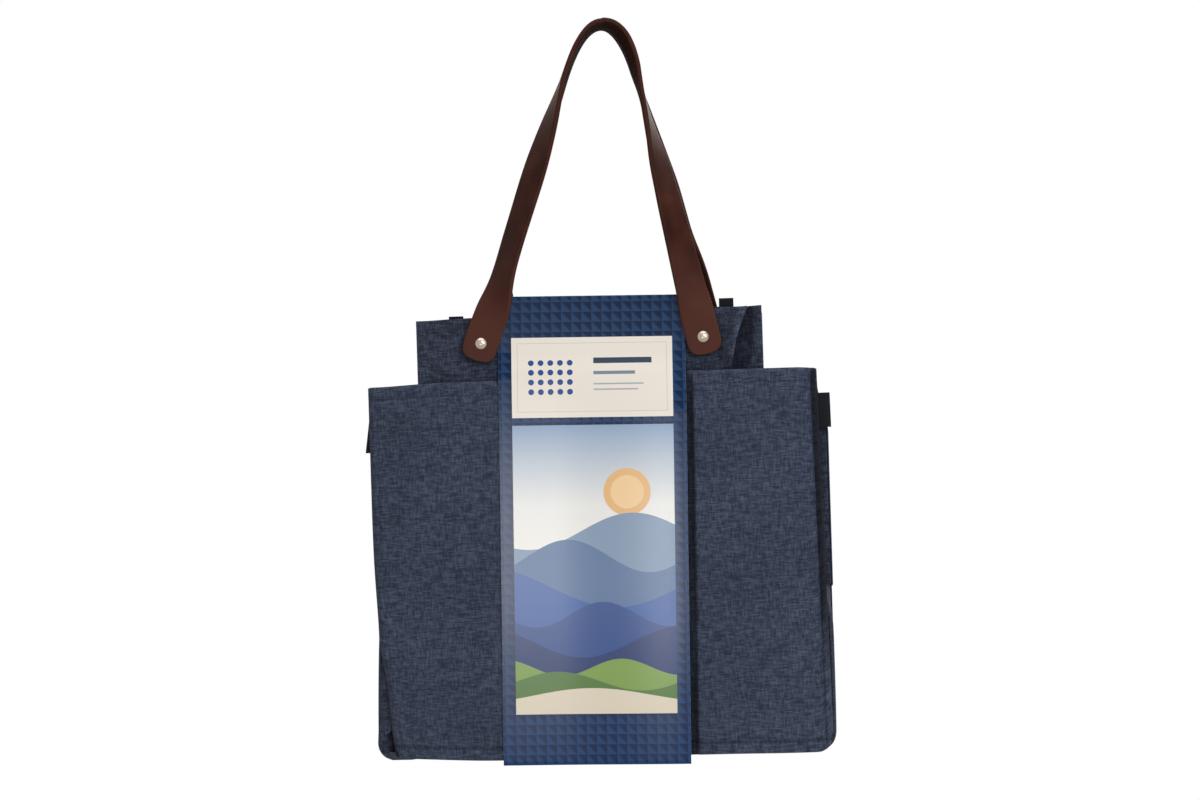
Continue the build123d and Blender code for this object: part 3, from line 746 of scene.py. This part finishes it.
def end_cloth(node, side):
    """End wall: two leaves of a fold between the long walls, as a plan line carried up from a slanting foot
    to a stepped top, and below them a swelling strip from the front seam to the base, each height a curve
    that is pulled out to the outline in its middle."""
    low, high = span(node)
    apex_z = (base_low[2] + base_high[2]) / 2
    crease_x = min(abs(low[0] - bag_x), abs(high[0] - bag_x))
    front_leaf = low[1] + cloth / 2
    back_leaf = span("left_side_handle")[1][1] + 0.7 + cloth / 2
    front_edge = panel_half - 1.5
    back_edge = panel_half + side * (back_x - bag_x) - 1.5
    corners = [(front_edge, front_leaf), (crease_x, front_leaf), (crease_x, back_leaf), (back_edge, back_leaf)]
    line, walk = soft_line(corners, 150, 3.0)
    x, y = line[None, :, 0], line[None, :, 1]
    top = pocket_z - 3.0 + (rim_z - pocket_z - 1.5) * ease((body_half - 3.0 - x) / 3.0)
    behind = ease((y - front_leaf) / (back_leaf - front_leaf))
    slant = (x - crease_x) / (panel_half - crease_x) * (1.0 - behind)
    foot = apex_z + (bottom_z + corner_radius - apex_z) * slant
    z = foot + np.linspace(0.0, 1.0, 70)[:, None] * (top - foot)
    y = y + ripples(x, z, 60.0, 0.12, seed=21 + side)
    front_x, front_z = settle(side * x, z)
    far_x, far_z = settle_back(side * x, z)
    moved_x, moved_z = front_x + (far_x - front_x) * behind, front_z + (far_z - front_z) * behind
    leaves = patch(bag_x + moved_x, y, moved_z, walk[None, :], z)
    z = np.concatenate([np.full(5, bottom_z + 1.0), np.linspace(bottom_z + 1.0, apex_z, 70)])[:, None]
    tuck = np.concatenate([np.linspace(14.0, 2.0, 5), np.zeros(70)])[:, None]
    turn = np.linspace(0.0, 1.0, 44)[None, :]
    seam = side * settle(side * panel_half + seam_shift(side * panel_half, z), z)[0] - 1.5
    swell = 3.1 * np.clip((seam_start_z - z) / 72.0, -2.0, 1.0)
    outline = panel_half + np.where(side < 0, swell - 5.3, 1.5) - 4.0 * ease((z - apex_z + 30.0) / 30.0)
    x = bowed(seam, 2.0 * outline - 0.5 * seam - 0.5 * back_edge, back_edge, turn)
    y = bowed(front_y + 2.5 * edge_roll, front_y - 1.5, base_low[1] + 1.5, turn)
    corner = np.clip(1.0 - (z - bottom_z - 1.0) / corner_radius, 0.0, 1.0)
    rounded = ease(2.5 * turn) if side < 0 else 1.0
    x = x - corner_radius * (1.0 - np.sqrt(1.0 - 0.96 * corner**2)) * rounded - tuck
    fold = np.sin(2.0 * np.pi * (2.6 * turn + 0.008 * (z - bottom_z))) * ease((apex_z - z) / 40.0)
    x = x + 0.7 * fold * ease(4.0 * turn) * ease(4.0 * (1.0 - turn))
    moved_z = z + (settle(side * x, z)[1] - z) * (1.0 - turn)
    # Painted shade: the strip's colour darkens towards the front seam over its first half
    strip = patch(bag_x + side * x, y, moved_z, 45.0 * turn, z, -0.9 * (1.0 - ease(turn / 0.5)))
    area = 2.0 * (panel_half - crease_x) * (rim_z - bottom_z) * end_cut_share
    return [leaves, strip], area * MM * MM


def round_panel(node, seed):
    """Base cloth: a square grid whose corner squares are pressed into quarter discs."""
    low, high = span(node)
    half, centre = (high - low) / 2, (high + low) / 2
    x, z = edge_steps(half[0], 90)[None, :], edge_steps(half[2], 70)[:, None]
    over_x = np.clip(np.abs(x) - (half[0] - corner_radius), 0.0, None)
    over_z = np.clip(np.abs(z) - (half[2] - corner_radius), 0.0, None)
    length = np.maximum(np.hypot(over_x, over_z), 1e-9)
    press = np.where((over_x > 0) & (over_z > 0), np.maximum(over_x, over_z) / length, 1.0)
    flat_x = np.sign(x) * (np.abs(x) - over_x * (1.0 - press))
    flat_z = np.sign(z) * (np.abs(z) - over_z * (1.0 - press))
    y = centre[1] + ripples(x, z, 80.0, 0.12, seed)
    return [patch(centre[0] + flat_x, y, centre[2] + flat_z, x, z)], (2 * half[0], 2 * half[2])


def binding_tape():
    """Tape round the base: an oval section carried round a rectangle with round corners, closed both ways."""
    half, centre = (base_high - base_low) / 2, (base_high + base_low) / 2
    path = round_ring(half[0], half[2], corner_radius, 14)
    x, z, out_x, out_z = path.T[:, :, None]
    turn = np.linspace(0.0, 2.0 * np.pi, 25)[None, :-1]
    across = -1.5 + 1.6 * np.sign(np.cos(turn)) * np.abs(np.cos(turn)) ** 0.6
    deep = (half[1] + 0.15) * np.sign(np.sin(turn)) * np.abs(np.sin(turn)) ** 0.6
    run = walked(np.vstack([path[:, :2], path[:1, :2]]))[:, None]
    return patch(
        centre[0] + x + out_x * across, centre[1] + deep, centre[2] + z + out_z * across,
        np.linspace(0.0, 16.0, 25)[None, :], run,
    )


# Leather, webbing and card pieces


def strap_section():
    """Section of the strap: a flat oval with small round edges and a slight dome on its grain side."""
    half = strap_width / 2
    ring = round_ring(half, strap_thickness / 2, strap_corner, 5)[:, :2]
    line, walk = soft_line(np.concatenate([ring, ring[:1]]), 64, 0.4)
    across, deep = line[:-1].T
    return across, deep + strap_dome * (deep > 0) * (1.0 - (across / half) ** 2), walk


def through(keys, distance):
    """Smooth run through a few (distance, value) keys: straight runs averaged over a stretch of 16 mm."""
    keys = np.array(keys, float)
    spread = distance[:, None] + np.linspace(-8.0, 8.0, 9)
    return np.interp(spread, keys[:, 0], keys[:, 1]).mean(1)


def leather_handle(rivets, strap_y, mirrored, turns, sways):
    """One handle: the strap's section carried from the left rivet up, over the crown as two parabolas and down
    to the right rivet. At each distance above its rivet it is turned about its run and swayed aside."""
    half = strap_width / 2
    apex = np.array([0.0, strap_thickness / 2])
    centre, radius = np.array([0.0, -crown_radius]), crown_radius + strap_thickness / 2
    halves = []
    for side in (-1, 1):
        reach = centre - rivets[side]
        angle = np.arctan2(reach[1], reach[0]) - side * np.arcsin(radius / np.hypot(*reach))
        along = np.array([np.cos(angle), np.sin(angle)])
        corner = rivets[side] + along * (apex[1] - rivets[side][1]) / along[1]
        length = np.hypot(*(corner - rivets[side])) - crown_run[side]
        tip = -half * np.sin(np.linspace(np.pi / 2 - 0.05, 0.0, 22))
        distance = np.concatenate([tip, np.linspace(2.0, length, 110)])
        leg = rivets[side] + distance[:, None] * along
        share = np.linspace(0.0, 1.0, 26)[1:, None]
        line = np.concatenate([leg, bowed(leg[-1], corner, apex, share)])
        distance = np.concatenate([distance, length + crown_run[side] * share[:, 0]])
        depth = strap_y + (-crown_y - strap_y) * ease((distance - lift_start) / (length - lift_start))
        width = (1.0 - np.clip(-distance / half, 0.0, 1.0) ** strap_tip) ** (1.0 / strap_tip)
        x = line[:, 0] + through(sways[side], distance)
        twist = np.radians(through(turns[side], distance))
        # Painted light: the strap's lower ends are painted paler, as if lit from the front
        painted_lit_ends = 1.0 - ease((distance - lit_end_start) / lit_end_run)
        halves.append(np.stack([x, depth, line[:, 1], twist, width, painted_lit_ends], axis=1))
    run = np.concatenate([halves[0], halves[1][::-1][1:]])
    middle_line, twist, width, painted_lit_ends = run[:, :3], run[:, 3:4], run[:, 4], run[:, 5:]
    along = np.gradient(middle_line, axis=0) * np.array([1.0, 0.0, 1.0])
    along = along / np.linalg.norm(along, axis=1, keepdims=True)
    away = np.array([0.0, 1.0, 0.0])
    normal = np.cross(along, away) * np.sin(twist) - away * np.cos(twist)
    wide = np.cross(along, normal)
    across, deep, rim_walk = strap_section()
    points = (
        middle_line[:, None] + wide[:, None] * (across[None, :, None] * width[:, None, None])
        + normal[:, None] * deep[None, :, None]
    )
    for side in (-1, 1):
        gap = np.hypot(points[..., 0] - rivets[side][0], points[..., 2] - rivets[side][1])
        points[..., 1] += rivet_dent * hump(gap, 0.0, rivet_dent_width) * (points[..., 1] < strap_y)
    if mirrored:
        points[..., 1] *= -1.0
    near_edge = ease((np.abs(across) - half + 1.2) / 1.0)
    inner_side = ease((-deep - 0.6) / 0.6) * (1.0 - near_edge)
    # Edge value: 0.25 on the edges, -1 on the inner side, and painted light on the lower ends
    edge = 0.25 * near_edge - inner_side + 0.7 * painted_lit_ends * (1.0 - inner_side)
    return patch(*np.moveaxis(points, -1, 0), rim_walk, walked(middle_line)[:, None], edge)


def side_handle_loop(node, side):
    """Webbing loop: a plan line out along one leg, round the bend and back, carried down its width. Towards
    the bend it rises or sinks a little, and it is pressed in more at one edge than at the other."""
    low, high = span(node)
    ends = np.abs([low[0] - bag_x, high[0] - bag_x])
    start, tip = ends.min(), ends.max() - webbing / 2
    near, far = low[1] + webbing / 2, high[1] - webbing / 2
    line, walk = soft_line([(start, near), (tip, near), (tip, far), (start, far)], 120, 3.4)
    width = np.linspace(-0.5, 0.5, 14)[:, None] * webbing_width
    from_end = np.minimum(walk, walk[-1] - walk)[None, :]
    rounded = np.sqrt(np.clip(1.0 - roll(from_end, webbing_width / 2), 0.004, 1.0))
    out = (line[None, :, 0] - start) / (tip - start)
    press_low, press_high = loop_press[side]
    press = press_low + (press_high - press_low) * (width / webbing_width + 0.5)
    x = line[None, :, 0] - press * out
    z = middle(node, 2) + width * rounded + loop_rise[side] * ease(out)
    return patch(bag_x + side * x, line[None, :, 1], z, width, walk[None, :])


def rim_tab(side):
    """Webbing tab: a strip up, over and down again above the rim, carried along its width."""
    low, high = span("rim_tabs")
    left = low[0] if side < 0 else high[0] - tab_width
    near, far, top = low[1] + 0.35, high[1] - 0.35, high[2] - 0.4
    line, walk = soft_line([(near, low[2]), (near, top), (far, top), (far, low[2])], 60, 1.4)
    x = left + np.linspace(0.0, tab_width, 10)[None, :]
    moved_z = settle(x - bag_x, line[:, 1:])[1] + tab_rise[side]
    return patch(x, line[:, :1], moved_z, x, walk[:, None])


def leaned(x, y, z, u, v):
    """A patch of the sleeve, turned by its lean about the middle of the rim."""
    cos, sin = np.cos(sleeve_lean), np.sin(sleeve_lean)
    return patch(bag_x + x * cos + (z - rim_z) * sin, y, rim_z - x * sin + (z - rim_z) * cos, u, v)


def card_band():
    """Sleeve: a closed profile over the rim, down the front, under the foot and up the back, carried along X,
    leaning, and standing off a little at its right edge. UV counts up from the foot of the front."""
    low, high = span("card_sleeve")
    sag = sleeve_half * np.tan(sleeve_lean)
    front = low[1] + card / 2
    back = middle("base_outer_panel", 1) + cloth / 2 + layer_gap + card / 2
    foot, top = low[2] + sag + card / 2, high[2] - sag - card / 2
    rim_front = body_low[1] - layer_gap - card / 2
    rim_back = span("back_rim_facing")[1][1] + layer_gap + cloth + layer_gap + card / 2
    step_z = rim_z - sleeve_step_drop
    fall = np.linspace(0.0, 1.0, 14)
    lap_z = step_z + 4.0 + (pocket_z - 3.0 - step_z) * fall
    lap = list(zip(rim_front + (front - rim_front) * ease(fall), lap_z))
    slope_z = step_z - 3.0 + (base_high[2] + 5.0 - step_z) * fall
    slope = list(zip(rim_back + (back - rim_back) * ease(fall), slope_z))
    over_rim = [(rim_front, top), (rim_back, top)]
    corners = [(0.0, foot), (front, foot), *lap[::-1], *over_rim, *slope, (back, foot), (0.0, foot)]
    line, walk = soft_line(corners, 560, 2.2)
    line = line[:-1]
    x = np.linspace(sleeve_half, -sleeve_half, 46)[None, :]
    z = line[:, 1:]
    on_front = ease((front + 6.0 - line[:, :1]) / 5.0) * ease((step_z - z) / 40.0)
    bow = sleeve_bow * ease((x + 0.5 * sleeve_half) / (1.5 * sleeve_half))
    y = line[:, :1] - (bow + ripples(x, z, 110.0, 0.06, seed=31)) * on_front
    return leaned(x, y, z, x, walk[:, None] + front)


def glue_lap():
    """The end of the band, a flat strip glued over its back. Its UV lies past the printed panels."""
    x = np.linspace(-sleeve_half, sleeve_half, 20)[None, :]
    up = np.linspace(-lap_half, lap_half, 12)[:, None]
    y = span("card_sleeve")[1][1] - card / 2
    return leaned(x, y, (base_low[2] + base_high[2]) / 2 + up, x, lap_print + up)


def stitch_row(line, out):
    """A row of stitches along a line, each an oval bead of thread, longer than thick, lying on the cloth."""
    distance = walked(line)
    places = np.arange(stitch_pitch / 2, distance[-1], stitch_pitch)
    centre, ahead = (
        np.stack([np.interp(places + step, distance, axis) for axis in line.T], axis=1) for step in (0.0, 0.5)
    )
    run = (ahead - centre) / np.linalg.norm(ahead - centre, axis=1, keepdims=True)
    side = np.cross(run, out)
    along = np.linspace(-0.96, 0.96, 6)[:, None]
    turn = np.linspace(0.0, 2.0 * np.pi, 7)[:-1]
    swell = np.sqrt(1.0 - along**2)
    bead = np.stack(np.broadcast_arrays(
        along * stitch_length / 2, swell * np.cos(turn) * thread, swell * np.sin(turn) * thread * 0.7,
    ), axis=-1)
    points = (
        centre[:, None, None] + bead[None, ..., :1] * run[:, None, None]
        + bead[None, ..., 1:2] * side[:, None, None] + bead[None, ..., 2:] * out
    )
    return [patch(*np.moveaxis(one, -1, 0), np.zeros((1, 7)), along) for one in points]


def stitches_on(grids, facing, height, skip):
    """Stitches along the row of a cloth's grid that is nearest to a height on its outer side."""
    points = grids[0][0][:, skip:-skip]
    centre = points[:, points.shape[1] // 4]
    off = np.abs(centre[:, 2] - height) - 0.5 * facing * centre[:, 1]
    out = np.array([0.0, facing, 0.0])
    return stitch_row(points[np.argmin(off)] + 0.5 * cloth * out, out)


# Pieces of the bag


def seat(made, body, slot, *nodes):
    """Puts a piece on its body, in place of frame nodes. Its slot argument is not used."""
    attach(made, body)
    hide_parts(*nodes)


def sew(node, grids, flat, material, held, holder, area=None):
    name = node.replace("_panel", "").replace("_rim", "") + "_cloth"
    made = make_piece(name, grids, material, thickness=cloth)
    seat(made, "tote", "lining_cloth" if material == lining else "navy_cloth", node)


grids, flat = front_pocket_cloth()
front_rows = stitches_on(grids, -1.0, pocket_z - hem_stitch_drop, 6)
front_rows += stitches_on(grids, -1.0, bottom_z + foot_stitch_rise, 9)
sew("front_pocket_panel", grids, flat, navy, "folded", "base_board")
grids, flat = front_body_cloth()
front_rows += stitches_on(grids, -1.0, rim_z - rim_stitch_drop, 4)
sew("front_body_panel", grids, flat, shaded_navy, "folded", "rivet_posts")
for node, move, holder in (
    ("front_rim_facing", settle, "front_body_cloth"), ("back_rim_facing", settle_back, "rivet_posts"),
):
    sew(node, *flat_cloth(node, move, 41), shaded_navy, "hung", holder)
for node in ("front_left_divider", "front_right_divider"):
    sew(node, *flat_cloth(node, settle, 42), lining, "folded", "front_pocket_cloth")
back_rows = []
for node, hem, seed, finish in (
    ("back_body_panel", 0.0, 51, shaded_navy), ("back_pocket_panel", 1.4, 52, navy),
):
    grids, flat = creased_cloth(node, hem, seed)
    back_rows += stitches_on(grids, 1.0, span(node)[1][2] - hem_stitch_drop, 5)
    sew(node, grids, flat, finish, "folded", "base_board")
for node in ("back_left_divider", "back_right_divider"):
    sew(node, *creased_cloth(node, 0.0, 53), lining, "folded", "back_pocket_cloth")
for node, side in (("left_end_panel", -1), ("right_end_panel", 1)):
    grids, area = end_cloth(node, side)
    sew(node, grids, end_cut, shaded_navy, "folded", "base_board", area)
sew("base_outer_panel", *round_panel("base_outer_panel", 61), navy, "stretched", "base_board")
sew("base_lining", *round_panel("base_lining", 62), lining, "stretched", "base_board")

made = make_piece("base_binding_tape", [binding_tape()], tape)
seat(made, "tote", "binding_tape", "base_binding")
tabs = [rim_tab(-1), rim_tab(1)]
made = make_piece("rim_tab_loops", tabs, black_webbing, thickness=tab, smooth_rim=0.15)
seat(made, "tote", "dark_webbing", "rim_tabs")
for where, side in (("left", -1), ("right", 1)):
    grid = side_handle_loop(f"{where}_side_handle", side)
    made = make_piece(f"{where}_webbing_loop", [grid], black_webbing, thickness=webbing)
    seat(made, f"{where}_side_handle_loop", "dark_webbing", f"{where}_side_handle")

# Handles: the turn in degrees and the sway, at distances above the rivets
caps = np.array([corner.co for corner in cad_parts["rivet_caps"].data.vertices]) / MM
twists = {
    "front": {
        -1: [(14.0, 0.0), (23.0, 10.0), (41.0, 45.0), (58.0, 54.0), (93.0, 53.0), (123.0, 50.5), (138.0, 52.5),
             (153.0, 59.0), (168.0, 66.5), (183.0, 77.5), (206.0, 90.0)],
        1: [(14.0, 0.0), (31.0, 28.0), (67.0, 40.0), (99.0, 48.0), (114.0, 53.5), (129.0, 58.0), (144.0, 69.5),
            (159.0, 80.5), (178.0, 88.0), (192.0, 95.0), (208.0, 104.0), (222.0, 100.0), (236.0, 90.0)],
    },
    "back": {
        -1: [(30.0, 0.0), (41.0, 55.0), (54.0, 80.0), (140.0, 84.0), (182.0, 90.0)],
        1: [(34.0, 0.0), (74.0, 50.0), (112.0, 52.0), (182.0, 90.0)],
    },
}
sways = {
    "front": {
        -1: [(5.0, 0.0), (20.0, 1.1), (40.0, 1.3), (60.0, 0.4), (80.0, 0.0)],
        1: [(0.0, 0.0)],
    },
    "back": {
        -1: [(10.0, 0.0), (34.0, -2.0), (46.0, -2.0), (66.0, 0.0)],
        1: [(180.0, 0.0), (205.0, -2.5), (222.0, -3.0), (236.0, 0.0)],
    },
}
for where, facing in (("front", -1), ("back", 1)):
    rivets = {}
    for side in (-1, 1):
        near = caps[(caps[:, 0] * side > 0) & (caps[:, 1] * facing > 0)]
        rivets[side] = ((near.min(0) + near.max(0)) / 2)[[0, 2]]
    strap_y = -facing * middle(f"{where}_handle_left_end", 1)
    grid = leather_handle(rivets, strap_y, where == "back", twists[where], sways[where])
    made = make_piece(f"{where}_leather_handle", [grid], leather)
    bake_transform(made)
    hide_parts(*(f"{where}_handle_{part}" for part in ("strap", "left_end", "right_end")))

# Sleeve and stitches
bands = [card_band(), glue_lap()]
made = make_piece("printed_card_band", bands, print_card, bare_card, thickness=card, smooth_rim=0.1)
seat(made, "sleeve", "printed_card", "card_sleeve")
for name, rows in (("front_stitches", front_rows), ("back_stitches", back_rows)):
    made = make_piece(name, rows, sewing_thread)
    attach(made, "tote")

# Finishes of the frame nodes that stay
for node, finish in {
    "rivet_caps": nickel, "rivet_posts": nickel, "rivet_washers": leather, "rivet_backs": nickel,
    "side_handle_tacks": sewing_thread, "base_board": board,
}.items():
    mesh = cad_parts[node].data
    mesh.materials.clear()
    mesh.materials.append(finish)

# Stage
floor_half = 1400.0
floor_z = -960.0


def pale_floor():
    """Matt painted board. The eye sees a pale ground that keeps a soft shadow and fades out at its rim. It is
    seen from above alone, so that it hides nothing from below."""
    made = plain_matt("pale matt floor", "#f1f1f0", "#f6f6f5", 30.0, 0.9)
    tree = made.node_tree
    place = add(tree, "TexCoord")
    centre = (0.0, 0.0, floor_z * MM)
    away = add(tree, "VectorMath", {0: (place, "Object"), 1: centre}, operation="DISTANCE")
    reach = {"From Min": 0.35 * floor_half * MM, "From Max": 0.95 * floor_half * MM}
    fade = add(tree, "MapRange", {"Value": (away, "Value"), **reach}, interpolation_type="SMOOTHSTEP")
    side = add(tree, "NewGeometry")
    unseen = add(tree, "Math", {0: fade, 1: (side, "Backfacing")}, operation="MAXIMUM")
    clear = add(tree, "BsdfTransparent")
    mixed = add(tree, "MixShader", {0: unseen, 1: tree.nodes["Principled BSDF"], 2: clear})
    tree.links.new(mixed.outputs["Shader"], tree.nodes["Material Output"].inputs["Surface"])
    return made


x = np.linspace(floor_half, -floor_half, 12)[None, :]
y = np.linspace(-floor_half, floor_half, 12)[:, None]
make_piece("floor", [patch(x, y, floor_z, x, y)], pale_floor())

world = bpy.data.worlds.new("white studio")
bpy.context.scene.world = world
world.use_nodes = True
tree = world.node_tree
tree.nodes.clear()
path = add(tree, "LightPath")
soft = add(tree, "Background", {"Color": linear("#ffffff"), "Strength": 0.31})
white = add(tree, "Background", {"Color": linear("#ffffff"), "Strength": 1.0})
seen = add(tree, "Math", {0: (path, "Is Camera Ray"), 1: (path, "Is Glossy Ray")}, operation="MAXIMUM")
seen = add(tree, "Math", {0: seen, 1: (path, "Is Transmission Ray")}, operation="MAXIMUM")
sky = add(tree, "MixShader", {0: seen, 1: soft, 2: white})
add(tree, "OutputWorld", {"Surface": sky})


def stand(name, data, right, up, back, place):
    """Puts a lamp or the camera at a place in metres, by its own axes. It looks against its back axis."""
    made = bpy.data.objects.new(name, data)
    bpy.context.scene.collection.objects.link(made)
    turn = np.eye(4)
    turn[:3] = np.stack([right, up, back, place], axis=1)
    made.matrix_world = Matrix(turn.tolist())
    return made


# Square area lamps: place and aim in metres, side in metres, watts
for name, place, aim, size, power in (
    ("key", (0.8, -2.3, 1.1), (0.0, 0.0, -0.3), 0.7, 13.5),
    ("fill", (1.6, -2.0, 0.2), (0.0, 0.0, -0.3), 1.2, 19.0),
    ("low sheen", (-0.12, -2.2, -0.49), (0.0, 0.0, -0.37), 0.28, 5.6),
    ("top", (0.0, -0.2, 1.6), (0.0, 0.0, -0.9), 2.2, 28.0),
    ("back", (0.6, 2.2, 0.9), (0.0, 0.0, -0.3), 2.4, 28.0),
):
    light = bpy.data.lights.new(name, "AREA")
    light.size = size
    light.energy = power
    back = np.array(place) - np.array(aim)
    back = back / np.linalg.norm(back)
    right = np.cross((0.0, 0.0, 1.0), back)
    right = right / np.linalg.norm(right)
    stand(name, light, right, np.cross(back, right), back, place)

# Camera: level, in front of the bag, rolled as the photograph leans. The hanging point lies on its pixel.
view_distance = 2.5
view_scale = 1.387
view_roll = np.radians(1.8)
hang_pixel = (601.0, 24.9)
picture_pixels = (1200.0, 800.0)
lens = bpy.data.cameras.new("camera")
lens.sensor_width = 36.0
lens.lens = lens.sensor_width * view_scale * (view_distance / MM - crown_y) / picture_pixels[0]
right_mm = (hang_pixel[0] - picture_pixels[0] / 2) / view_scale
up_mm = (picture_pixels[1] / 2 - hang_pixel[1]) / view_scale
right = np.array([np.cos(view_roll), 0.0, -np.sin(view_roll)])
up = np.array([np.sin(view_roll), 0.0, np.cos(view_roll)])
place = -(right_mm * right + up_mm * up) * MM
place[1] = -view_distance
bpy.context.scene.camera = stand("camera", lens, right, up, (0.0, -1.0, 0.0), place)

bpy.context.scene.view_settings.view_transform = "Standard"
